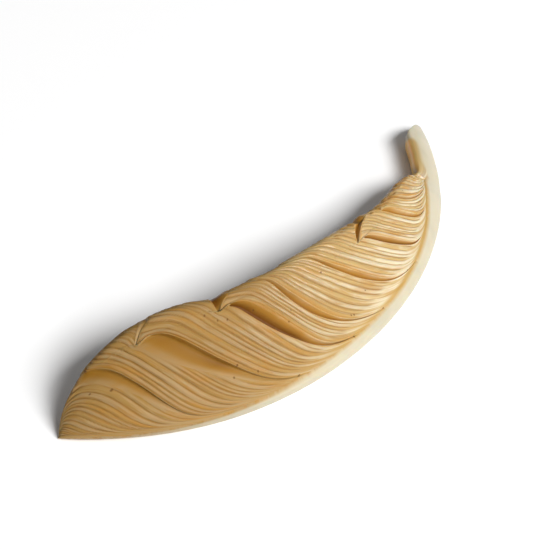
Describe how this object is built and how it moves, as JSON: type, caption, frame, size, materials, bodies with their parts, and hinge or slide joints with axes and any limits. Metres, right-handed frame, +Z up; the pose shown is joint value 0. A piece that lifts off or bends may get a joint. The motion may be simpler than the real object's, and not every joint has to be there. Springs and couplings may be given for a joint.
{
  "type": "carved tusk ornament",
  "caption": "Curved boar's tusk carved along its face with overlapping locks of fine wavy strands, with a smooth enamel edge and a plain tip. It lies on a flat underside.",
  "frame": {"origin": "middle of the overall box in plan, on the flat underside that the tusk lies on", "axes": "+X along the chord from the root end to the tip, -Y out of the convex enamel edge, +Z up out of the carved face"},
  "size_m": [0.1054, 0.0318, 0.0174],
  "materials": {
    "carved_ivory": "carved tusk ivory, polished to a soft sheen, golden brown with darker stain in the cuts and a cream enamel edge"
  },
  "bodies": {
    "root": {"carved_tusk": "carved_ivory"}
  },
  "joints": []
}
